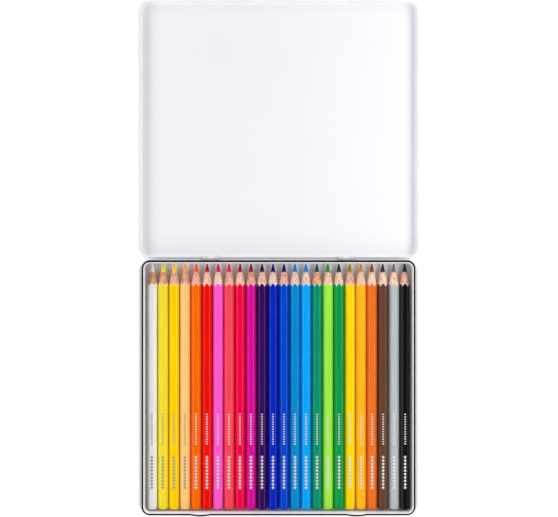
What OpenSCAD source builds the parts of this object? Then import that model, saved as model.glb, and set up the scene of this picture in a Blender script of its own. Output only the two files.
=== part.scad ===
// Hinged tin of hexagonal coloured pencils, lying open with the lid flat behind the tray.
// Origin: middle of the tray's underside. +X right, +Y towards the hinge and the lid, +Z up.
// The pencils set the size of the tin: every case size is built outwards from the row of pencils.

/* [Pencils] */
// Length of a pencil from its blunt end to its point
pencil_len = 174.5; // [140:0.5:215]
// Width of a barrel across its flats
barrel_flats = 6.8; // [5.6:0.1:8.4]
// Rounding of the six long edges
barrel_edge_r = 0.8; // [0.3:0.05:1.2]
// Diameter of the lead
lead_d = 3; // [2:0.1:4]
// Full angle of the sharpened cone
point_angle = 23.5; // [20:0.5:32]
// Diameter of the worn tip of the lead
tip_d = 1; // [0.6:0.1:1.4]
// Wood left behind the blunt end of the lead
lead_stop = 2; // [1:0.1:4]
// Bevel round the blunt end of a barrel
end_bevel = 1; // [0.2:0.05:1.2]
// Glue line between the lead and the wood
glue_line = 0.02; // [0.01:0.005:0.05]
// Gap between neighbouring pencils
row_gap = 0.2; // [0.1:0.05:1]
// Gap under the pencils, above the raised margin of the floor
rest_gap = 0.05; // [0.02:0.01:0.2]

/* [Tray] */
// Thickness of the tinplate
sheet = 0.3; // [0.22:0.01:0.45]
// Gap from the outermost pencil to the neck
side_gap = 0.85; // [0.5:0.05:4]
// Gap from either end of a pencil to the neck
end_gap = 0.5; // [0.3:0.05:3]
// Height of the rolled rim above the pencils
rim_rise = 5.55; // [3:0.05:9]
// Diameter of the rolled rim
rim_roll = 2.1; // [1.6:0.05:2.7]
// Gap from the blunt corner of an end pencil to the neck's round corner
corner_gap = 0.15; // [0.05:0.05:0.25]
// Width of the ledge beyond the rolled rim, at the sides
ledge_side = 2.6; // [1.2:0.1:3.5]
// Width of the ledge beyond the rolled rim, at the front and back
ledge_end = 1; // [0.6:0.05:1.8]
// Corner radius of the tray's outer wall
tray_corner = 9; // [7:0.1:12]
// Outer radius where the tray's wall meets its floor
tray_foot_r = 2; // [1:0.1:2.5]
// Outer radius where the tray's wall meets the ledge
ledge_r = 0.8; // [0.5:0.05:1.2]
// Depth of the pressed panel in the floor
panel_press = 0.3; // [0.1:0.05:0.6]
// Distance of the pressed panel from the neck
panel_inset = 5; // [3:0.5:12]
// Corner radius of the pressed panel
panel_corner = 6; // [3:0.5:12]
// Width of the slope round the pressed panel
panel_slope = 0.8; // [0.4:0.05:1.5]

/* [Lid] */
// Diameter of the lid's rolled edge
lid_roll = 1.55; // [1.25:0.05:1.9]
// Corner radius of the lid, over its rolled edge
lid_corner = 8.7; // [7:0.1:12]
// Inner radius where the lid's wall meets its panel
lid_foot_r = 2; // [1:0.1:3]
// Gap from the tray's rim to the lid's wall, at the sides
lid_side_gap = 2; // [0.4:0.05:2.5]
// Gap from the tray's rim to the lid's wall, at the front and back
lid_end_gap = 0.35; // [0.28:0.01:0.6]
// Gap from the closed lid's edge to the ledge
lid_seat_gap = 0.2; // [0.1:0.05:0.5]
// Headroom between the tray's rim and the panel of the closed lid
headroom = 2.7; // [1:0.1:6]
// Inward height of the small pips in the lid's wall
pip_rise = 0.2; // [0.1:0.02:0.24]
// Radius of the dome that a pip is cut from
pip_dome_r = 1.6; // [1.2:0.1:2.4]
// Distance of each front pip from the end of its snap
front_pip_gap = 9.5; // [4:0.5:16]
// Distance of the side pips from the hinge axis
side_pip_y = 35; // [20:1:60]

/* [Snaps] */
// Distance of each snap from the middle
snap_x = 55; // [20:0.5:60]
// Length of a snap along the rim
snap_len = 14; // [8:0.5:18]
// Height of a snap beyond the rolled rim
snap_rise = 0.75; // [0.4:0.05:0.95]
// Gap round a snap inside its pocket in the lid
snap_gap = 0.35; // [0.28:0.01:0.45]

/* [Hinges] */
// Distance of each hinge from the middle
hinge_x = 48; // [20:1:60]
// Length of a hinge along its axis
hinge_len = 12.4; // [9:0.1:18]
// Length of the lid's knuckle, between the tray's two
lid_knuckle_len = 5; // [3:0.1:7]
// Outer diameter of the knuckles
knuckle_d = 2.2; // [1.8:0.05:2.7]
// Diameter of the wire pin
pin_d = 1.2; // [0.8:0.05:1.45]
// Gap all round the pin in its knuckles
pin_gap = 0.05; // [0.03:0.01:0.1]
// Gap round a knuckle in the slot of the other half
slot_gap = 0.25; // [0.2:0.01:0.4]
// Gap between two neighbouring knuckles
knuckle_gap = 0.2; // [0.1:0.05:0.4]
// Distance of the hinge axis behind the tray's wall
hinge_out = 0.65; // [0.5:0.01:0.8]

/* [Hidden] */
$fn = 64;
// Each pencil's name, its paint and the colour of its lead, from left to right
SHADES = [
    ["white", "#eceeea", "#f7f5f0"],
    ["lemon_yellow", "#f6e22e", "#ece21e"],
    ["warm_yellow", "#fdd400", "#f3d12a"],
    ["apricot", "#ffc878", "#f4a850"],
    ["orange", "#fa6e05", "#ee5a18"],
    ["scarlet", "#f01010", "#a81414"],
    ["rose_pink", "#fa55c4", "#c4185f"],
    ["coral", "#fa4560", "#e22a50"],
    ["carmine", "#f40a50", "#a01838"],
    ["magenta", "#d6109a", "#820f48"],
    ["violet", "#3c1068", "#241028"],
    ["ultramarine", "#0a28b8", "#060c74"],
    ["cobalt_blue", "#0448c8", "#060c64"],
    ["cyan_blue", "#048acc", "#0c80c4"],
    ["sky_blue", "#08a4fa", "#1c80d2"],
    ["sea_green", "#04926c", "#0c4e4a"],
    ["light_green", "#98ee42", "#188e3c"],
    ["leaf_green", "#049a44", "#143c34"],
    ["olive_yellow", "#fada06", "#98881c"],
    ["golden_orange", "#fbb418", "#c88c14"],
    ["sienna", "#ec701e", "#864612"],
    ["umber", "#643c28", "#2e2a26"],
    ["grey", "#b6bebd", "#70787e"],
    ["black", "#161614", "#262624"],
];
function barrel_name(shade) = str(shade[0], "_pencil_barrel");
function lead_name(shade) = str(shade[0], "_pencil_lead");

// Small overshoot, so that a cut leaves no skin
over = 0.5;
// Segments in each rounded edge of a barrel and in each corner of a flat cut-out
edge_steps = 4;
corner_steps = 12;

// The row of pencils
barrel_half = barrel_flats / 2;
edge_centre = (barrel_half - barrel_edge_r) / cos(30);
barrel_w = 2 * (edge_centre + barrel_edge_r);
pencil_pitch = barrel_w + row_gap;
pencil_count = len(SHADES);
row_w = pencil_count * pencil_pitch - row_gap;
cone_slope = tan(point_angle / 2);
// How far in from a long edge the bevel of the blunt end reaches
ridge_bevel = end_bevel + barrel_w / 2 - barrel_half;

// Heights, from the surface that the tin stands on
margin_top = panel_press + sheet;
pencil_z = margin_top + rest_gap + barrel_half;
rim_top = pencil_z + barrel_half + rim_rise;
hinge_z = (rim_top + headroom + sheet) / 2;
ledge_top = hinge_z - lid_seat_gap;

// The tray's neck and wall
neck_in_w = row_w + 2 * side_gap;
neck_in_d = pencil_len + 2 * end_gap;
neck_corner = min(
    corner_radius_past(side_gap + ridge_bevel, end_gap),
    corner_radius_past(side_gap, end_gap + ridge_bevel)
);
rim_w = neck_in_w + 2 * rim_roll;
rim_d = neck_in_d + 2 * rim_roll;
rim_corner = neck_corner + rim_roll;
tray_w = rim_w + 2 * ledge_side;
tray_d = rim_d + 2 * ledge_end;
panel_w = neck_in_w - 2 * panel_inset;
panel_d = neck_in_d - 2 * panel_inset;

// The lid, whose middle lies over the tray's middle when it is shut
lid_wall_w = rim_w + 2 * lid_side_gap;
lid_wall_d = rim_d + 2 * lid_end_gap;
lid_w = lid_wall_w + 2 * lid_roll;
lid_d = lid_wall_d + 2 * lid_roll;
hinge_y = tray_d / 2 + hinge_out;
lid_y = 2 * hinge_y;

// The snaps: arcs of the rim's roll, a little slimmer and lower than the roll itself
snap_arc_r = (pow(snap_len / 2, 2) + pow(snap_rise, 2)) / (2 * snap_rise);
snap_inset = 0.15;
snap_drop = 0.1;
snap_r = rim_roll / 2 - snap_inset;
snap_z = rim_top - rim_roll / 2 - snap_drop;
snap_front = rim_d / 2 + snap_rise;
snap_sweep = 2 * asin((snap_len / 2 + over * 2) / snap_arc_r);
pocket_arc_r = snap_arc_r + snap_gap;
pocket_floor = 2 * hinge_z - (snap_z + snap_r) - snap_gap;
front_pip_x = snap_x + snap_len / 2 + front_pip_gap;

// The hinge
tray_knuckle_len = (hinge_len - lid_knuckle_len) / 2 - knuckle_gap;
tray_knuckle_x = (lid_knuckle_len + tray_knuckle_len) / 2 + knuckle_gap;
slot_r = knuckle_d / 2 + slot_gap;
leaf_inset = 0.05;

// Largest corner radius that stays corner_gap clear of a point this far in from both walls
function corner_radius_past(from_side, from_end) =
    let (a = from_side - corner_gap, b = from_end - corner_gap)
    a + b + corner_gap + sqrt(2 * a * b);

// Points of a rounded rectangle about the origin
function rounded_points(w, d, r) = [
    for (k = [0 : 3], s = [0 : corner_steps])
        let (a = 90 * (k + s / corner_steps),
             sx = (k == 0 || k == 3) ? 1 : -1,
             sy = k < 2 ? 1 : -1)
        [sx * (w / 2 - r) + r * cos(a), sy * (d / 2 - r) + r * sin(a)]
];

// Points of a barrel's section: six rounded edges, with flats facing up and down
function barrel_points() = [
    for (k = [0 : 5], s = [0 : edge_steps])
        let (a = 60 * k, b = a - 30 + 60 * s / edge_steps)
        edge_centre * [cos(a), sin(a)] + barrel_edge_r * [cos(b), sin(b)]
];

// Sweeps a section round a rounded rectangle of corner radius r.
// The section's x runs outwards from the corner's centre and its y runs upwards.
module around(w, d, r) {
    for (k = [0 : 3]) {
        across = k % 2 == 0 ? w : d;
        along = k % 2 == 0 ? d : w;
        rotate(90 * k) translate([across / 2 - r, 0, 0]) {
            rotate([90, 0, 0]) linear_extrude(along - 2 * r, center = true) children();
            translate([0, along / 2 - r, 0]) rotate_extrude(angle = 90) children();
        }
    }
}

// A quarter ring of sheet in the corner that right (1 or -1) and up (1 or -1) point to
module quarter_ring(r, right, up) {
    intersection() {
        difference() {
            circle(r);
            circle(r - sheet);
        }
        translate([right < 0 ? -r : 0, up < 0 ? -r : 0]) square(r);
    }
}

// An edge rolled outwards through three quarters of a turn, which leaves the roll open underneath
module rolled_edge(d) {
    difference() {
        circle(d / 2);
        circle(d / 2 - sheet);
        translate([-d, -d]) square(d);
    }
}

// Section of the tray's wall: foot, wall and the turn into the ledge
module tray_section() {
    foot_z = panel_press + tray_foot_r;
    bend_z = ledge_top - ledge_r;
    translate([0, panel_press]) square([tray_corner - tray_foot_r, sheet]);
    translate([tray_corner - tray_foot_r, foot_z]) quarter_ring(tray_foot_r, 1, -1);
    translate([tray_corner - sheet, foot_z]) square([sheet, bend_z - foot_z]);
    translate([tray_corner - ledge_r, bend_z]) quarter_ring(ledge_r, 1, 1);
    translate([0, ledge_top - sheet]) square([tray_corner - ledge_r, sheet]);
}

// Section of the neck and its rolled rim
module neck_section() {
    roll_z = rim_top - rim_roll / 2;
    translate([neck_corner, ledge_top - sheet]) square([sheet, roll_z - ledge_top + sheet]);
    translate([neck_corner + rim_roll / 2, roll_z]) rolled_edge(rim_roll);
}

// Section of the slope round the pressed panel
module slope_section() {
    polygon([
        [panel_corner - sheet, 0],
        [panel_corner, 0],
        [panel_corner + panel_slope, panel_press],
        [panel_corner + panel_slope, margin_top],
        [panel_corner + panel_slope - sheet, margin_top],
        [panel_corner - sheet, sheet],
    ]);
}

// Section of the lid: panel, foot, wall and rolled edge
module lid_section() {
    wall_x = lid_corner - lid_roll;
    foot_x = wall_x - lid_foot_r;
    foot_z = lid_foot_r + sheet;
    roll_z = hinge_z - lid_roll / 2;
    square([foot_x, sheet]);
    translate([foot_x, foot_z]) quarter_ring(foot_z, 1, -1);
    translate([wall_x, foot_z]) square([sheet, roll_z - foot_z]);
    translate([wall_x + lid_roll / 2, roll_z]) rolled_edge(lid_roll);
}

// A solid prism over a rounded rectangle
module rounded_block(w, d, r, h) {
    linear_extrude(h) polygon(rounded_points(w, d, r));
}

// A rod along X, centred on x, on the hinge axis
module hinge_rod(x, r, len) {
    translate([x, hinge_y, hinge_z]) rotate([0, 90, 0]) cylinder(r = r, h = len, center = true);
}

// The tray's two knuckles of the hinge at x, or room for them in the lid
module tray_knuckles(x, r, extra) {
    for (side = [-1, 1])
        hinge_rod(x + side * tray_knuckle_x, r, tray_knuckle_len + 2 * extra);
}

// The strips of sheet that run from the tray's wall into its knuckles, a little inside their underside
module tray_leaves(x) {
    for (side = [-1, 1])
        translate([x + side * tray_knuckle_x - tray_knuckle_len / 2, tray_d / 2 - sheet,
                   hinge_z - knuckle_d / 2 + leaf_inset])
            cube([tray_knuckle_len, hinge_out + sheet, sheet]);
}

// One snap: a stretch of the rim that bows outwards
module snap(x) {
    translate([x, snap_arc_r - snap_front, snap_z])
        rotate_extrude(angle = snap_sweep, start = 270 - snap_sweep / 2)
            translate([snap_arc_r - snap_r, 0]) circle(snap_r);
}

// A round-fronted block that fills or lines a snap's pocket, in the lid's own place
module pocket_block(x, r, bottom, top) {
    intersection() {
        translate([x, snap_front - snap_arc_r, bottom]) cylinder(r = r, h = top - bottom, $fn = 256);
        translate([x - snap_len, lid_wall_d / 2, bottom]) cube([2 * snap_len, lid_roll, top - bottom]);
    }
}

// Places children at each pip, with +Y pointing out through the lid's wall
module at_pips() {
    for (side = [-1, 1]) {
        translate([side * front_pip_x, lid_wall_d / 2, hinge_z / 2]) children();
        translate([side * lid_wall_w / 2, side_pip_y - hinge_y, hinge_z / 2])
            rotate(-90 * side) children();
    }
}

// A pip's dome, on the inside of the wall only
module pip_dome() {
    intersection() {
        translate([0, pip_dome_r - pip_rise, 0]) sphere(pip_dome_r);
        translate([-pip_dome_r, -pip_rise, -pip_dome_r])
            cube([2 * pip_dome_r, pip_rise + sheet / 2, 2 * pip_dome_r]);
    }
}

// The dimple on the outside of the same pip
module pip_dimple() {
    translate([0, pip_dome_r - pip_rise, 0]) sphere(pip_dome_r - sheet);
}

module base_tray() {
    panel_top_w = panel_w + 2 * panel_slope;
    panel_top_d = panel_d + 2 * panel_slope;
    color("#c9cdce") difference() {
        union() {
            difference() {
                union() {
                    around(tray_w, tray_d, tray_corner) tray_section();
                    translate([tray_corner - tray_w / 2, tray_corner - tray_d / 2, panel_press])
                        cube([tray_w - 2 * tray_corner, tray_d - 2 * tray_corner, sheet]);
                }
                // the opening in the ledge, whose edge lies inside the neck's wall
                translate([0, 0, ledge_top - sheet - over])
                    rounded_block(neck_in_w + sheet, neck_in_d + sheet, neck_corner + sheet / 2,
                                  sheet + 2 * over);
                // the opening in the floor, whose edge lies inside the slope
                rounded_block(panel_top_w - sheet, panel_top_d - sheet,
                              panel_corner + panel_slope - sheet / 2, margin_top + over);
            }
            around(rim_w, rim_d, rim_corner) neck_section();
            around(panel_w, panel_d, panel_corner) slope_section();
            rounded_block(panel_w - sheet, panel_d - sheet, panel_corner - sheet / 2, sheet);
            for (side = [-1, 1]) {
                snap(side * snap_x);
                tray_knuckles(side * hinge_x, knuckle_d / 2, 0);
                tray_leaves(side * hinge_x);
            }
        }
        for (side = [-1, 1]) {
            hinge_rod(side * hinge_x, slot_r, lid_knuckle_len + 2 * knuckle_gap);
            hinge_rod(side * hinge_x, pin_d / 2 + pin_gap, hinge_len + 2 * over);
        }
    }
}

module lid() {
    color("#f2f3f6") difference() {
        union() {
            difference() {
                translate([0, lid_y, 0]) union() {
                    difference() {
                        union() {
                            around(lid_w, lid_d, lid_corner) lid_section();
                            translate([lid_corner - lid_w / 2, lid_corner - lid_d / 2, 0])
                                cube([lid_w - 2 * lid_corner, lid_d - 2 * lid_corner, sheet]);
                            at_pips() pip_dome();
                        }
                        at_pips() pip_dimple();
                        for (side = [-1, 1])
                            pocket_block(side * snap_x, pocket_arc_r, pocket_floor, hinge_z + over);
                    }
                    for (side = [-1, 1])
                        difference() {
                            pocket_block(side * snap_x, pocket_arc_r + sheet,
                                         pocket_floor - sheet, hinge_z - sheet / 2);
                            pocket_block(side * snap_x, pocket_arc_r, pocket_floor, hinge_z + over);
                        }
                }
                for (side = [-1, 1])
                    tray_knuckles(side * hinge_x, slot_r, knuckle_gap);
            }
            for (side = [-1, 1])
                hinge_rod(side * hinge_x, knuckle_d / 2, lid_knuckle_len);
        }
        for (side = [-1, 1])
            hinge_rod(side * hinge_x, pin_d / 2 + pin_gap, hinge_len + 2 * over);
    }
}

module hinge_pin(side) {
    color("#9a9da0") hinge_rod(side * hinge_x, pin_d / 2, hinge_len);
}

// The shape that sharpening leaves: a bevelled blunt end at 0 and a cone to the tip
module sharpened_envelope(r) {
    rotate_extrude() polygon([
        [0, 0],
        [barrel_half - end_bevel, 0],
        [r, r - barrel_half + end_bevel],
        [r, pencil_len - (r - tip_d / 2) / cone_slope],
        [tip_d / 2, pencil_len],
        [0, pencil_len],
    ]);
}

// Lays a pencil in its place in the row, with its point towards the hinge
module in_row(index) {
    x = (index - (pencil_count - 1) / 2) * pencil_pitch;
    translate([x, -pencil_len / 2, pencil_z]) rotate([-90, 0, 0]) children();
}

module pencil_barrel(index) {
    color(SHADES[index][1]) in_row(index) difference() {
        intersection() {
            linear_extrude(pencil_len) polygon(barrel_points());
            sharpened_envelope(barrel_w);
        }
        translate([0, 0, lead_stop - glue_line])
            cylinder(d = lead_d + 2 * glue_line, h = pencil_len);
    }
}

module pencil_lead(index) {
    color(SHADES[index][2]) in_row(index) intersection() {
        translate([0, 0, lead_stop]) cylinder(d = lead_d, h = pencil_len);
        sharpened_envelope(barrel_w);
    }
}

base_tray();
lid();
hinge_pin(-1);  // hinge_pin_left
hinge_pin(1);  // hinge_pin_right
for (i = [0 : pencil_count - 1]) {
    pencil_barrel(i);
    pencil_lead(i);
}
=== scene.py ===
import math

import bpy
from mathutils import Matrix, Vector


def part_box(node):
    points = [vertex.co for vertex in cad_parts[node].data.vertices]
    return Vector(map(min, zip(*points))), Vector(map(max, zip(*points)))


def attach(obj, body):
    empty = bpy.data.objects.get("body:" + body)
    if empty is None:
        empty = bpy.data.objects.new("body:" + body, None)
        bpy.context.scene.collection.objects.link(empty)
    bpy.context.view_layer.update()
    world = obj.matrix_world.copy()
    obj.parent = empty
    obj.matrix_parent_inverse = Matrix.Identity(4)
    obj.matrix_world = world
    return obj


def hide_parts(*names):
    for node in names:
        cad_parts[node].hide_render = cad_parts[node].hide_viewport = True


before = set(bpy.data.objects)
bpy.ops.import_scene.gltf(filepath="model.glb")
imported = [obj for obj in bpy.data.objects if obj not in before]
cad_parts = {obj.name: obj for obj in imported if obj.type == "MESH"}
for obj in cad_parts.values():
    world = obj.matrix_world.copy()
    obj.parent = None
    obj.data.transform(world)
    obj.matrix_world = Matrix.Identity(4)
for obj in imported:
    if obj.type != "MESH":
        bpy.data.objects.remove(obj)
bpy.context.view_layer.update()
print("frame loaded:", len(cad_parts), "nodes")

mm = 0.001

# Each pencil's lacquer, core and timber, in the order in which they lie in the tin
shades = {
    "white": ("f8f9f5", "fdfcf9", "amber"),
    "lemon_yellow": ("f9e42e", "f6f010", "amber"),
    "warm_yellow": ("ffd800", "ffe024", "rose"),
    "apricot": ("ffd080", "ffb244", "amber"),
    "orange": ("fc6e00", "fc6010", "rose"),
    "scarlet": ("f01008", "a81414", "pale"),
    "rose_pink": ("fc5cd0", "cc1466", "cream"),
    "coral": ("f84a5e", "ea2450", "rose"),
    "carmine": ("f4084c", "a01838", "pale"),
    "magenta": ("d80c98", "820f48", "amber"),
    "violet": ("3a0c60", "241028", "pale"),
    "ultramarine": ("0828bc", "060c74", "cream"),
    "cobalt_blue": ("0448cc", "060c64", "rose"),
    "cyan_blue": ("028ccd", "0c8ad2", "pale"),
    "sky_blue": ("06a8fc", "1e8ae2", "cream"),
    "sea_green": ("04946c", "0c4e4a", "amber"),
    "light_green": ("9eee48", "188e3c", "pale"),
    "leaf_green": ("069c48", "143c34", "cream"),
    "olive_yellow": ("fada06", "98881c", "rose"),
    "golden_orange": ("fbb818", "c88c14", "pale"),
    "sienna": ("ec7222", "864612", "cream"),
    "umber": ("64422e", "2e2a26", "cream"),
    "grey": ("b8bebc", "70787e", "pale"),
    "black": ("161614", "262624", "rose"),
}


def linear(hexColour):
    channels = [int(hexColour[i:i + 2], 16) / 255 for i in (0, 2, 4)]
    return [c / 12.92 if c <= 0.04045 else ((c + 0.055) / 1.055) ** 2.4 for c in channels] + [1]


def addNode(tree, kind, inputs=None, **settings):
    # Each input is a plain value, a hex colour or another node's output
    node = tree.nodes.new("ShaderNode" + kind)
    for name, value in settings.items():
        setattr(node, name, value)
    for name, value in (inputs or {}).items():
        if isinstance(value, bpy.types.NodeSocket):
            tree.links.new(value, node.inputs[name])
        else:
            node.inputs[name].default_value = linear(value) if isinstance(value, str) else value
    return node


def newMaterial(name, surface):
    # The surface is a function that adds its nodes to the tree and returns the shader
    material = bpy.data.materials.new(name)
    material.use_nodes = True
    tree = material.node_tree
    tree.nodes.clear()
    shader = surface(tree)
    addNode(tree, "OutputMaterial", {"Surface": shader.outputs[0]})
    return material


noiseSpread = (0.3, 0.7)  # nearly all of a noise lies between these


def grain(tree, size, detail=2):
    # Noise whose grains are about this many metres along x, y and z
    place = addNode(tree, "TexCoord").outputs["Object"]
    scaled = addNode(tree, "Mapping", {"Vector": place, "Scale": [1 / s for s in size]}).outputs[0]
    noise = addNode(tree, "TexNoise", {"Vector": scaled, "Scale": 1, "Detail": detail})
    return noise.outputs["Fac"]


# The barrels' sizes come from the frame; all barrels and leads are alike
barrelLow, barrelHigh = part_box("scarlet_pencil_barrel")
leadLow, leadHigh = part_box("scarlet_pencil_lead")
barrel = {
    "flats": barrelHigh.z - barrelLow.z,
    "axisZ": (barrelHigh.z + barrelLow.z) / 2,
    "bluntY": barrelLow.y,
    "pointAngle": 23.5,
    "edgeRound": 0.8 * mm,
    "edgeSteps": 6,
    "endReach": 3.85 * mm,
    "endRound": 2 * mm,
    "endSteps": 8,
    "glueLine": 0.02 * mm,
    "turnSides": 128,
    "overrun": 10 * mm,
    "weld": 0.01 * mm,
    "coneTilt": 0.05,  # the cone's faces look forward by more than this
    "groundWidth": 0.35 * mm,
    "smoothAngle": 28,
}
lead = {
    "radius": 1.5 * mm,
    "tipY": leadHigh.y,
    "tipRadius": 0.5 * mm,
    "tipRounds": (0.42 * mm, 0.16 * mm, 0.3 * mm),
    "tipSteps": 5,
    "sides": 48,
    "smoothAngle": 40,
}
halfSide = math.radians(30)  # half of what one of six sides takes up round the axis
coneSlope = math.tan(math.radians(barrel["pointAngle"] / 2))
apexY = lead["tipY"] + lead["tipRadius"] / coneSlope
coreY = apexY - lead["radius"] / coneSlope
barrelLength = apexY - barrel["bluntY"]

# Nitrocellulose lacquer, dipped in several coats: full colour, a glossy skin and a faint ripple
lacquer = {
    "drift": (3 * mm, 25 * mm, 3 * mm),
    "driftRange": (0.94, 1.04),
    "ripple": (2.5 * mm, 6 * mm, 2.5 * mm),
    "rippleDepth": 0.003 * mm,
    "roughness": 0.14,
    "coatRoughness": 0.05,
    "coat": 0.75,
    "ior": 1.5,
}

# Stamped silver foil in plain marks on the upper flat: a run of ticks and a chain of lozenges. On
# the pale pencils it is painted darker, a painted shade of the same silver foil
foil = {
    "silver": "f0eeea",
    # painted shade: the silver foil darkened where it lies on the pale pencils
    "shadedSilver": "b9b5a0",
    "onShadedSilver": ("white", "lemon_yellow", "warm_yellow", "apricot"),
    "metallic": 0.4,
    "roughness": 0.4,
    "ticks": {
        "start": 46.5 * mm, "end": 69.2 * mm, "pitch": 1.75 * mm, "width": 1.2 * mm, "share": 0.5},
    "chain": {"start": 14.8 * mm, "end": 38.8 * mm, "pitch": 2.4 * mm, "width": 2.2 * mm},
}


def foilMask(tree):
    # The barrel's own map in metres: across from the upper flat's middle, along from the blunt end
    place = addNode(tree, "UVMap", uv_map="unrolled").outputs["UV"]
    metres = addNode(tree, "VectorMath", {
        0: place, 1: (math.pi * barrel["flats"], barrelLength, 0),
        2: (-math.pi * barrel["flats"] / 2, 0, 0)}, operation="MULTIPLY_ADD").outputs[0]
    metres = addNode(tree, "SeparateXYZ", {0: metres})
    across = addNode(tree, "Math", {0: metres.outputs["X"]}, operation="ABSOLUTE").outputs[0]
    shapes = []
    for mark in (foil["ticks"], foil["chain"]):
        start, end, width = mark["start"], mark["end"], mark["width"]
        step = addNode(tree, "MapRange", {
            "Value": metres.outputs["Y"], "From Min": start, "From Max": start + mark["pitch"]},
            clamp=False).outputs[0]
        within = addNode(tree, "Math", {
            0: metres.outputs["Y"], 1: (start + end) / 2, 2: (end - start) / 2},
            operation="COMPARE").outputs[0]
        step = addNode(tree, "Math", {0: step}, operation="FRACT").outputs[0]
        if "share" in mark:  # a tick fills this share of its step
            shape = addNode(
                tree, "Math", {0: step, 1: mark["share"]}, operation="LESS_THAN").outputs[0]
            shape = addNode(tree, "Math", {0: shape, 1: width / 2}, operation="MULTIPLY").outputs[0]
        else:  # a lozenge is widest half-way along its step
            shape = addNode(tree, "Math", {0: step, 1: 0.5}, operation="PINGPONG").outputs[0]
            shape = addNode(tree, "Math", {0: shape, 1: width}, operation="MULTIPLY").outputs[0]
        shape = addNode(tree, "Math", {0: across, 1: shape}, operation="LESS_THAN").outputs[0]
        shapes.append(addNode(tree, "Math", {0: shape, 1: within}, operation="MULTIPLY").outputs[0])
    return addNode(tree, "Math", {0: shapes[0], 1: shapes[1]}, operation="MAXIMUM").outputs[0]


def lacquerMaterial(shade, paint):
    def surface(tree):
        low, high = lacquer["driftRange"]
        drift = addNode(tree, "MapRange", {
            "Value": grain(tree, lacquer["drift"]),
            "From Min": noiseSpread[0], "From Max": noiseSpread[1],
            "To Min": low, "To Max": high}).outputs[0]
        body = addNode(tree, "HueSaturation", {"Color": paint, "Value": drift}).outputs[0]
        marks = foilMask(tree)
        # the pale pencils get the painted-shade copy of the silver foil
        metal = foil["shadedSilver" if shade in foil["onShadedSilver"] else "silver"]
        skin = addNode(tree, "Mix", {0: marks, 6: body, 7: metal}, data_type="RGBA").outputs[2]
        ripple = addNode(tree, "Bump", {
            "Height": grain(tree, lacquer["ripple"]),
            "Distance": lacquer["rippleDepth"]}).outputs[0]
        metallic = addNode(
            tree, "Math", {0: marks, 1: foil["metallic"]}, operation="MULTIPLY").outputs[0]
        roughness = addNode(tree, "MapRange", {
            "Value": marks, "To Min": lacquer["roughness"], "To Max": foil["roughness"]}).outputs[0]
        return addNode(tree, "BsdfPrincipled", {
            "Base Color": skin,
            "Metallic": metallic,
            "Roughness": roughness,
            "Specular IOR Level": 0,  # the clear coat alone gives the gloss
            "Coat Weight": lacquer["coat"],
            "Coat IOR": lacquer["ior"],
            "Coat Roughness": lacquer["coatRoughness"],
            "Normal": ripple,
        })
    return newMaterial(shade + "_nitro_lacquer", surface)


# Linden, cut on a long slant by the sharpener: pale pinkish tan, with darker streaks of grain and
# fine knife lines
wood = {
    "timbers": {
        "amber": ("ffc8a0", "be683e"),
        "rose": ("ffd2ba", "d07a5a"),
        "pale": ("ffe4ce", "e09a74"),
        "cream": ("ffecd8", "dca278"),
    },
    "streak": (0.42 * mm, 8 * mm, 0.42 * mm),
    "streakSpread": (0.4, 0.6),
    "pore": (0.14 * mm, 1.8 * mm, 0.14 * mm),
    "poreSpread": (0.58, 0.72),
    "poreShare": 0.45,
    "knife": (20 * mm, 0.45 * mm, 20 * mm),
    "knifeDepth": 0.008 * mm,
    "roughness": 0.6,
    "smear": 1.1 * mm,
    "smearReach": 1 * mm,
    "smearGrain": (1.1 * mm, 1.6 * mm, 1.1 * mm),
}


def woodMaterial(shade, timber, coreColour):
    light, dark = wood["timbers"][timber]

    def surface(tree):
        low, high = wood["streakSpread"]
        streaks = addNode(tree, "MapRange", {
            "Value": grain(tree, wood["streak"], 3), "From Min": low, "From Max": high}).outputs[0]
        low, high = wood["poreSpread"]
        pores = addNode(tree, "MapRange", {
            "Value": grain(tree, wood["pore"]), "From Min": low, "From Max": high,
            "To Max": wood["poreShare"]}).outputs[0]
        body = addNode(tree, "Mix", {0: streaks, 6: light, 7: dark}, data_type="RGBA").outputs[2]
        body = addNode(tree, "Mix", {0: pores, 6: body, 7: dark}, data_type="RGBA").outputs[2]
        # The sharpener drags a little of the core over the end of the wood: a ragged edge
        place = addNode(tree, "TexCoord").outputs["Object"]
        along = addNode(tree, "SeparateXYZ", {0: place}).outputs["Y"]
        ragged = addNode(tree, "Math", {
            0: grain(tree, wood["smearGrain"], 3), 1: wood["smear"], 2: along},
            operation="MULTIPLY_ADD").outputs[0]
        smearY = coreY + wood["smear"] / 2 - wood["smearReach"]
        smeared = addNode(
            tree, "Math", {0: ragged, 1: smearY}, operation="GREATER_THAN").outputs[0]
        body = addNode(
            tree, "Mix", {0: smeared, 6: body, 7: coreColour}, data_type="RGBA").outputs[2]
        knife = addNode(tree, "Bump", {
            "Height": grain(tree, wood["knife"], 1), "Distance": wood["knifeDepth"]}).outputs[0]
        return addNode(tree, "BsdfPrincipled", {
            "Base Color": body, "Roughness": wood["roughness"], "Normal": knife})
    return newMaterial(shade + "_cut_linden", surface)


# The chalk ground coat under the lacquer, seen where the sharpener cuts through it: a cream line
ground = {"colours": ("fff6e6", "f2dcc0"), "grain": (0.5 * mm,) * 3, "roughness": 0.6}


def groundSurface(tree):
    light, dark = ground["colours"]
    body = addNode(tree, "Mix", {
        0: grain(tree, ground["grain"]), 6: light, 7: dark}, data_type="RGBA").outputs[2]
    return addNode(tree, "BsdfPrincipled", {"Base Color": body, "Roughness": ground["roughness"]})


# Pigmented wax core, turned to a point: matt with a slight waxy sheen, and fine scratches round it
core = {
    "mottle": (0.4 * mm,) * 3,
    "mottleRange": (1.1, 0.98),
    "scratch": (20 * mm, 0.18 * mm, 20 * mm),
    "scratchDepth": 0.008 * mm,
    "roughness": 0.5,
    "gloss": 0.12,
}


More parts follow.
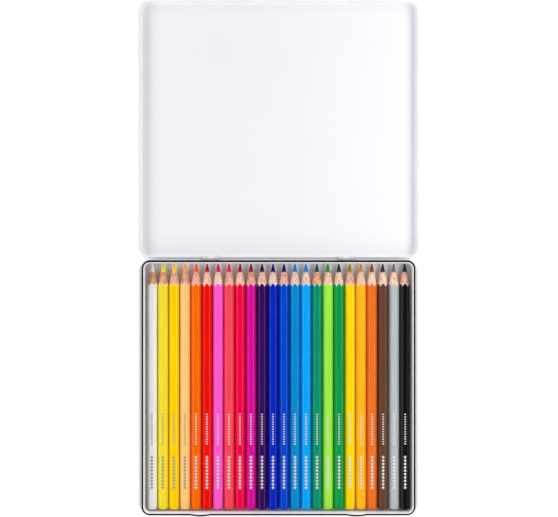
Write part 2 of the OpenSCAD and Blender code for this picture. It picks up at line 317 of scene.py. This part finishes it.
def coreMaterial(shade, colour):
    def surface(tree):
        low, high = core["mottleRange"]
        mottle = addNode(tree, "MapRange", {
            "Value": grain(tree, core["mottle"], 3),
            "From Min": noiseSpread[0], "From Max": noiseSpread[1],
            "To Min": low, "To Max": high}).outputs[0]
        body = addNode(tree, "HueSaturation", {"Color": colour, "Value": mottle}).outputs[0]
        scratches = addNode(tree, "Bump", {
            "Height": grain(tree, core["scratch"]), "Distance": core["scratchDepth"]}).outputs[0]
        return addNode(tree, "BsdfPrincipled", {
            "Base Color": body, "Roughness": core["roughness"],
            "Specular IOR Level": core["gloss"], "Normal": scratches})
    return newMaterial(shade + "_wax_core", surface)


def deselect():
    bpy.ops.object.select_all(action="DESELECT")


def choose(piece):
    deselect()
    piece.select_set(True)
    bpy.context.view_layer.objects.active = piece


def openEdit(piece, kind, test):
    # Opens the piece in edit mode with only the faces or edges that pass the test selected
    choose(piece)
    bpy.ops.object.mode_set(mode="EDIT")
    bpy.ops.mesh.select_mode(type=kind)
    bpy.ops.mesh.select_all(action="DESELECT")
    bpy.ops.object.mode_set(mode="OBJECT")
    for element in (piece.data.polygons if kind == "FACE" else piece.data.edges):
        element.select = test(element)
    bpy.ops.object.mode_set(mode="EDIT")


def closeEdit():
    bpy.ops.object.mode_set(mode="OBJECT")


def addTurned(name, kind, startY, endY, material, **sizes):
    # A cylinder or cone whose axis is the pencils' own, from the blunt end's side to the tip's
    deselect()
    operator = getattr(bpy.ops.mesh, f"primitive_{kind}_add")
    operator(depth=endY - startY, location=(0, (startY + endY) / 2, barrel["axisZ"]),
             rotation=(math.radians(-90), 0, 0), **sizes)
    piece = bpy.context.object
    piece.name = piece.data.name = name
    bpy.ops.object.transform_apply(location=True, rotation=True, scale=True)
    piece.data.materials.append(material)
    return piece


def edgesAt(piece, y):
    # A test for the edges that lie in the plane at this y
    points = piece.data.vertices
    return lambda edge: all(abs(points[v].co.y - y) < barrel["weld"] for v in edge.vertices)


def applyModifier(piece, kind, **settings):
    choose(piece)
    bpy.ops.object.modifier_add(type=kind)
    modifier = piece.modifiers[-1]
    for name, value in settings.items():
        setattr(modifier, name, value)
    bpy.ops.object.modifier_apply(modifier=modifier.name)


def modelBarrel(paint, timber, groundCoat):
    # A six-sided bar, flats up and down, with its long edges rounded
    startY, endY = barrel["bluntY"], apexY + barrel["overrun"]
    bar = addTurned("barrelPattern", "cylinder", startY, endY, paint, vertices=6,
                    radius=barrel["flats"] / 2 / math.cos(halfSide))
    choose(bar)
    bpy.ops.transform.rotate(value=halfSide, orient_axis="Y",
                             center_override=(0, startY, barrel["axisZ"]))
    bpy.ops.object.transform_apply(location=True, rotation=True, scale=True)
    points = bar.data.vertices

    def runsAlong(edge):
        start, end = (points[v].co for v in edge.vertices)
        return abs(start.y - end.y) > barrel["flats"]
    openEdit(bar, "EDGE", runsAlong)
    bpy.ops.mesh.bevel(offset=barrel["edgeRound"] * math.tan(halfSide),
                       segments=barrel["edgeSteps"], affect="EDGES")
    closeEdit()
    bar.data.materials.append(timber)
    bar.data.materials.append(groundCoat)

    # A lathe rounds its blunt end, a long cone cuts its point and a drill bores it for the lead
    lathe = addTurned("lathe", "cylinder", startY, endY + barrel["overrun"], paint,
                      vertices=barrel["turnSides"], radius=barrel["endReach"])
    openEdit(lathe, "EDGE", edgesAt(lathe, startY))
    bpy.ops.mesh.bevel(offset=barrel["endRound"], segments=barrel["endSteps"], affect="EDGES")
    closeEdit()
    coneY = startY - barrel["overrun"]
    sharpener = addTurned("sharpener", "cone", coneY, apexY, timber, vertices=barrel["turnSides"],
                          radius1=coneSlope * (apexY - coneY))
    drill = addTurned("drill", "cylinder", leadLow.y - barrel["glueLine"], endY + barrel["overrun"],
                      timber, vertices=lead["sides"], radius=lead["radius"] + barrel["glueLine"])
    for tool, operation in ((lathe, "INTERSECT"), (sharpener, "INTERSECT"), (drill, "DIFFERENCE")):
        applyModifier(bar, "BOOLEAN", operation=operation, object=tool, solver="EXACT",
                      material_mode="TRANSFER")
        bpy.data.objects.remove(tool)
    openEdit(bar, "FACE", lambda face: True)
    bpy.ops.mesh.remove_doubles(threshold=barrel["weld"])
    bpy.ops.mesh.dissolve_degenerate(threshold=barrel["weld"])
    closeEdit()

    # The line of ground coat along the scalloped edge of the lacquer, not the one round the bore
    def onCone(face):
        return face.material_index == 1 and face.normal.y > barrel["coneTilt"]
    openEdit(bar, "FACE", onCone)
    bpy.ops.mesh.inset(thickness=barrel["groundWidth"], depth=0)
    closeEdit()
    for face in bar.data.polygons:
        fromAxis = math.hypot(face.center.x, face.center.z - barrel["axisZ"])
        if onCone(face) and not face.select and fromAxis > barrel["flats"] / 3:
            face.material_index = 2
    unrollBarrel(bar)
    choose(bar)
    bpy.ops.object.shade_smooth_by_angle(angle=math.radians(barrel["smoothAngle"]))
    applyModifier(bar, "WEIGHTED_NORMAL", keep_sharp=True)
    return bar


def unrollBarrel(bar):
    # Its map runs once round the barrel, the upper flat in the middle, and from blunt end to tip
    unrolled = bar.data.uv_layers.new(name="unrolled").data
    for face in bar.data.polygons:
        middle = math.atan2(face.center.x, face.center.z - barrel["axisZ"])
        for corner in face.loop_indices:
            point = bar.data.vertices[bar.data.loops[corner].vertex_index].co
            turn = math.atan2(point.x, point.z - barrel["axisZ"])
            turn += 2 * math.pi * round((middle - turn) / (2 * math.pi))
            along = (point.y - barrel["bluntY"]) / barrelLength
            unrolled[corner].uv = (0.5 + turn / (2 * math.pi), along)


def modelLead(material, tipRound):
    # A rod up to where the cone begins, drawn out to the point and rounded there
    rod = addTurned("leadPattern", "cylinder", leadLow.y, coreY, material,
                    vertices=lead["sides"], radius=lead["radius"])
    openEdit(rod, "FACE", lambda face: face.normal.y > 0.9)
    bpy.ops.mesh.extrude_region_move(TRANSFORM_OT_translate={"value": (0, lead["tipY"] - coreY, 0)})
    shrink = lead["tipRadius"] / lead["radius"]
    bpy.ops.transform.resize(value=(shrink, 1, shrink),
                             center_override=(0, lead["tipY"], barrel["axisZ"]))
    closeEdit()
    openEdit(rod, "EDGE", edgesAt(rod, lead["tipY"]))
    bpy.ops.mesh.bevel(offset=tipRound, segments=lead["tipSteps"], affect="EDGES")
    closeEdit()
    choose(rod)
    bpy.ops.object.shade_smooth_by_angle(angle=math.radians(lead["smoothAngle"]))
    return rod


def copyInPlace(pattern, name, x, materials):
    mesh = pattern.data.copy()
    mesh.name = name
    mesh.transform(Matrix.Translation((x, 0, 0)))
    for slot, material in enumerate(materials):
        mesh.materials[slot] = material
    piece = bpy.data.objects.new(name, mesh)
    bpy.context.scene.collection.objects.link(piece)
    return piece


def makePencils():
    groundCoat = newMaterial("chalk_ground_coat", groundSurface)
    barrelPattern, leadPatterns = None, []
    for number, (shade, (paint, coreColour, timber)) in enumerate(shades.items()):
        node = shade + "_pencil"
        low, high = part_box(node + "_barrel")
        x = (low.x + high.x) / 2
        skins = (
            lacquerMaterial(shade, paint), woodMaterial(shade, timber, coreColour), groundCoat)
        coreSkin = coreMaterial(shade, coreColour)
        if not barrelPattern:
            barrelPattern = modelBarrel(*skins)
            leadPatterns = [modelLead(coreSkin, tipRound) for tipRound in lead["tipRounds"]]
        leadPattern = leadPatterns[number % len(leadPatterns)]
        painted = copyInPlace(barrelPattern, shade + "_painted_barrel", x, skins)
        pointed = copyInPlace(leadPattern, shade + "_pointed_lead", x, (coreSkin,))
        for piece, part in ((painted, "barrel"), (pointed, "lead")):
            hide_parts(f"{node}_{part}")
            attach(piece, node)
    for pattern in [barrelPattern] + leadPatterns:
        bpy.data.objects.remove(pattern)
    print("pencils modelled:", len(shades))


# Stove-enamelled tinplate: satin white, with a faint orange-peel skin
enamel = {
    "colours": ("f8f8fa", "f4f4f8"),
    "drift": (60 * mm,) * 3,
    "peel": (1.8 * mm,) * 3,
    "peelDepth": 0.0015 * mm,
    "gloss": 0.5,
    "roughness": 0.35,
}

# Bare tinplate: dull silver with a soft rolled grain. Round the outer side of the rim a matt black
# line is painted, a painted shade standing in for the dark reflection and shade there
tinplate = {
    "colours": ("f0f0ee", "e2e4e1"),
    "grain": (0.3 * mm, 9 * mm, 0.3 * mm),
    "paintedShadeRimColour": "0a0a0b",
    # painted shade: the black line round the rim's outer side, and its low gloss
    "paintedShadeRimGloss": 0.08,
    "metallic": 0.1,
    "roughness": 0.42,
}

# The neck, the ledge and the rolled rim of the tray, as the frame has them
tray = {
    "neckCore": (90.588 * mm, 83.935 * mm),
    "neckCorner": 3.815 * mm,
    "neckMiddle": 0.15 * mm,
    "ledgeMiddle": 7.65 * mm,
    "rollBottom": 10 * mm,
    "floorReach": 4 * mm,
    "underTilt": -0.1,  # the underside looks down by more than this
    # where the painted black shade line starts, this far out from the neck
    "paintedShadeFromNeck": 0.72 * mm,
    "snapX": 55 * mm,
    "snapHalf": 7 * mm,
    "snapRise": 0.75 * mm,
}


def trayMasks(tree):
    # How much a surface faces outwards, from the nearest point of the neck's rounded rectangle
    place = addNode(tree, "TexCoord")
    spot, look = place.outputs["Object"], place.outputs["Normal"]
    flat = addNode(tree, "VectorMath", {0: spot, 1: (1, 1, 0)}, operation="MULTIPLY").outputs[0]
    size = addNode(tree, "VectorMath", {0: flat}, operation="ABSOLUTE").outputs[0]
    beyond = addNode(
        tree, "VectorMath", {0: size, 1: (*tray["neckCore"], 0)}, operation="SUBTRACT").outputs[0]
    beyond = addNode(
        tree, "VectorMath", {0: beyond, 1: (0, 0, 0)}, operation="MAXIMUM").outputs[0]
    reach = addNode(tree, "VectorMath", {0: beyond}, operation="LENGTH").outputs["Value"]
    side = addNode(tree, "VectorMath", {0: flat}, operation="SIGN").outputs[0]
    outward = addNode(tree, "VectorMath", {0: beyond, 1: side}, operation="MULTIPLY").outputs[0]
    outward = addNode(tree, "VectorMath", {0: outward}, operation="NORMALIZE").outputs[0]
    facing = addNode(
        tree, "VectorMath", {0: outward, 1: look}, operation="DOT_PRODUCT").outputs["Value"]
    out = addNode(tree, "Math", {0: facing, 1: 0}, operation="GREATER_THAN").outputs[0]
    parts = addNode(tree, "SeparateXYZ", {0: spot})
    height = parts.outputs["Z"]
    lookUp = addNode(tree, "SeparateXYZ", {0: look}).outputs["Z"]

    # Painted shade: black on the outer part of the rolled rim, standing in for the dark reflection
    # and shade there; a line that bows out with the two front snaps
    high = addNode(
        tree, "Math", {0: height, 1: tray["rollBottom"]}, operation="GREATER_THAN").outputs[0]
    fromMiddle = addNode(tree, "Math", {0: parts.outputs["X"]}, operation="ABSOLUTE").outputs[0]
    along = addNode(tree, "MapRange", {
        "Value": fromMiddle,
        "From Min": tray["snapX"], "From Max": tray["snapX"] + tray["snapHalf"]},
        clamp=False).outputs[0]
    square = addNode(tree, "Math", {0: along, 1: along}, operation="MULTIPLY").outputs[0]
    bow = addNode(
        tree, "MapRange", {"Value": square, "To Min": tray["snapRise"], "To Max": 0}).outputs[0]
    front = addNode(tree, "Math", {0: parts.outputs["Y"], 1: 0}, operation="LESS_THAN").outputs[0]
    line = addNode(tree, "Math", {
        0: bow, 1: front, 2: tray["neckCorner"] + tray["paintedShadeFromNeck"]},
        operation="MULTIPLY_ADD").outputs[0]
    outer = addNode(tree, "Math", {0: reach, 1: line}, operation="GREATER_THAN").outputs[0]
    paintedShadeRim = addNode(tree, "Math", {0: high, 1: outer}, operation="MULTIPLY").outputs[0]

    # Bare below the rim: the ledge, the wall's outside and the underside
    above = addNode(
        tree, "Math", {0: height, 1: tray["ledgeMiddle"]}, operation="GREATER_THAN").outputs[0]
    past = addNode(tree, "Math", {
        0: reach, 1: tray["neckCorner"] + tray["neckMiddle"]}, operation="GREATER_THAN").outputs[0]
    ledge = addNode(tree, "Math", {0: above, 1: past}, operation="MULTIPLY").outputs[0]
    low = addNode(
        tree, "Math", {0: height, 1: tray["floorReach"]}, operation="LESS_THAN").outputs[0]
    down = addNode(
        tree, "Math", {0: lookUp, 1: tray["underTilt"]}, operation="LESS_THAN").outputs[0]
    under = addNode(tree, "Math", {0: low, 1: down}, operation="MULTIPLY").outputs[0]
    outside = addNode(tree, "Math", {0: out, 1: under}, operation="MAXIMUM").outputs[0]
    bare = addNode(tree, "Math", {0: ledge, 1: outside}, operation="MAXIMUM").outputs[0]
    bare = addNode(
        tree, "Math", {0: bare, 1: high}, operation="SUBTRACT", use_clamp=True).outputs[0]
    return paintedShadeRim, bare


def enamelSkin(tree):
    light, dark = enamel["colours"]
    skin = addNode(tree, "Mix", {
        0: grain(tree, enamel["drift"]), 6: light, 7: dark}, data_type="RGBA").outputs[2]
    peel = addNode(tree, "Bump", {
        "Height": grain(tree, enamel["peel"]), "Distance": enamel["peelDepth"]}).outputs[0]
    return skin, peel


def traySurface(tree):
    paintedShadeRim, bare = trayMasks(tree)
    skin, peel = enamelSkin(tree)
    light, dark = tinplate["colours"]
    metal = addNode(tree, "Mix", {
        0: grain(tree, tinplate["grain"]), 6: light, 7: dark}, data_type="RGBA").outputs[2]
    body = addNode(tree, "Mix", {0: bare, 6: skin, 7: metal}, data_type="RGBA").outputs[2]
    # The black rim line is painted shade, not a finish of the tin
    body = addNode(
        tree, "Mix", {0: paintedShadeRim, 6: body, 7: tinplate["paintedShadeRimColour"]}, data_type="RGBA").outputs[2]
    metallic = addNode(
        tree, "Math", {0: bare, 1: tinplate["metallic"]}, operation="MULTIPLY").outputs[0]
    gloss = addNode(tree, "MapRange", {
        "Value": paintedShadeRim, "To Min": enamel["gloss"], "To Max": tinplate["paintedShadeRimGloss"]}).outputs[0]
    either = addNode(tree, "Math", {0: paintedShadeRim, 1: bare}, operation="MAXIMUM").outputs[0]
    roughness = addNode(tree, "MapRange", {
        "Value": either, "To Min": enamel["roughness"], "To Max": tinplate["roughness"]}).outputs[0]
    return addNode(tree, "BsdfPrincipled", {
        "Base Color": body, "Metallic": metallic, "Specular IOR Level": gloss,
        "Roughness": roughness, "Normal": peel})


def lidSurface(tree):
    skin, peel = enamelSkin(tree)
    return addNode(tree, "BsdfPrincipled", {
        "Base Color": skin, "Roughness": enamel["roughness"], "Normal": peel})


# Drawn steel wire: bright, with fine lines along it
wire = {
    "colours": ("c8c9ca", "8e9092"),
    "lines": (6 * mm, 0.08 * mm, 0.08 * mm),
    "lineDepth": 0.002 * mm,
    "roughness": 0.3,
}


def wireSurface(tree):
    light, dark = wire["colours"]
    lines = grain(tree, wire["lines"])
    metal = addNode(tree, "Mix", {0: lines, 6: light, 7: dark}, data_type="RGBA").outputs[2]
    drawn = addNode(tree, "Bump", {"Height": lines, "Distance": wire["lineDepth"]}).outputs[0]
    return addNode(tree, "BsdfPrincipled", {
        "Base Color": metal, "Metallic": 1, "Roughness": wire["roughness"], "Normal": drawn})


def finishTin():
    pin = newMaterial("drawn_steel_wire", wireSurface)
    finishes = {
        "base_tray": newMaterial("tinplate_white_inside", traySurface),
        "lid": newMaterial("stoved_white_enamel", lidSurface),
        "hinge_pin_left": pin,
        "hinge_pin_right": pin,
    }
    for name, material in finishes.items():
        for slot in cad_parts[name].material_slots:
            slot.material = material
    print("tin finished:", ", ".join(finishes))


# A pale floor in a white light tent, dark where the camera looks in, with a soft strip lamp on
# either side
studio = {
    "floorSize": 6,
    "floorDrop": 0.02 * mm,
    "floorColour": "f8f8f8",
    "floorLift": 0.24,
    "boxHeight": 0.3,
    "boxes": {
        "leftSoftbox": {"from": -66, "to": -46, "radiance": 2.3, "tint": (0.955, 0.945, 1)},
        "rightSoftbox": {"from": 33, "to": 54, "radiance": 2.5, "tint": (1, 0.995, 0.95)},
    },
    "boxMiddleY": 0.09,
    "boxLength": 0.9,
    "tentLight": 0.84,
    "tentTint": (0.966, 0.957, 1, 1),
    "openingLight": 0.02,
    "openingAngles": (38, 26),
}


def floorSurface(tree):
    # Camera, mirror and see-through rays find the floor a little brighter, so it is white all over
    rays = addNode(tree, "LightPath")
    seen = addNode(tree, "Math", {
        0: rays.outputs["Is Camera Ray"], 1: rays.outputs["Is Glossy Ray"]},
        operation="MAXIMUM").outputs[0]
    seen = addNode(tree, "Math", {
        0: seen, 1: rays.outputs["Is Transmission Ray"]}, operation="MAXIMUM").outputs[0]
    lift = addNode(tree, "Math", {0: seen, 1: studio["floorLift"]}, operation="MULTIPLY").outputs[0]
    glow = addNode(tree, "Emission", {"Strength": lift}).outputs[0]
    paper = addNode(tree, "BsdfDiffuse", {"Color": studio["floorColour"]}).outputs[0]
    return addNode(tree, "AddShader", {0: paper, 1: glow})


def makeFloor():
    deselect()
    bpy.ops.mesh.primitive_plane_add(
        size=studio["floorSize"], location=(0, 0, -studio["floorDrop"]))
    floor = bpy.context.object
    floor.name = "studioFloor"
    floor.data.materials.append(newMaterial("white_paper_sweep", floorSurface))


def makeWorld():
    world = bpy.data.worlds.new("studioWorld")
    bpy.context.scene.world = world
    world.use_nodes = True
    tree = world.node_tree
    tree.nodes.clear()
    place = addNode(tree, "TexCoord").outputs["Generated"]
    height = addNode(tree, "SeparateXYZ", {0: place}).outputs["Z"]
    # The tent's opening, between these angles from upright
    edge, middle = (math.cos(math.radians(angle)) for angle in studio["openingAngles"])
    level = addNode(tree, "MapRange", {
        "Value": height, "From Min": edge, "From Max": middle,
        "To Min": studio["tentLight"], "To Max": studio["openingLight"]}).outputs[0]
    seen = addNode(tree, "LightPath").outputs["Is Camera Ray"]
    strength = addNode(tree, "Math", {0: level, 1: seen}, operation="MAXIMUM").outputs[0]
    colour = addNode(tree, "Mix", {
        0: seen, 6: studio["tentTint"], 7: (1, 1, 1, 1)}, data_type="RGBA").outputs[2]
    light = addNode(tree, "Background", {"Color": colour, "Strength": strength})
    addNode(tree, "OutputWorld", {"Surface": light.outputs[0]})


def makeSoftboxes():
    # Each hangs level and spans these angles from upright, seen from the middle of the tin
    for name, box in studio["boxes"].items():
        start, end = (
            studio["boxHeight"] * math.tan(math.radians(box[key])) for key in ("from", "to"))
        lamp = bpy.data.lights.new(name, "AREA")
        lamp.shape = "RECTANGLE"
        lamp.size, lamp.size_y = end - start, studio["boxLength"]
        lamp.energy = box["radiance"] * math.pi * lamp.size * lamp.size_y
        lamp.color = box["tint"]
        holder = bpy.data.objects.new(name, lamp)
        bpy.context.scene.collection.objects.link(holder)
        holder.location = ((start + end) / 2, studio["boxMiddleY"], studio["boxHeight"])


# The camera hangs straight over the hinge and looks down
camera = {"place": (0.00035, 0.0911, 0.786), "lens": 70.9, "sensor": 36, "near": 0.01, "far": 20}


def makeCamera():
    data = bpy.data.cameras.new("overheadCamera")
    data.lens = camera["lens"]
    data.sensor_width = camera["sensor"]
    data.clip_start, data.clip_end = camera["near"], camera["far"]
    holder = bpy.data.objects.new("overheadCamera", data)
    bpy.context.scene.collection.objects.link(holder)
    holder.location = camera["place"]
    bpy.context.scene.camera = holder


bpy.context.scene.view_settings.view_transform = "Standard"
makeCamera()
makeFloor()
makeWorld()
makeSoftboxes()
print("studio ready")
finishTin()
makePencils()
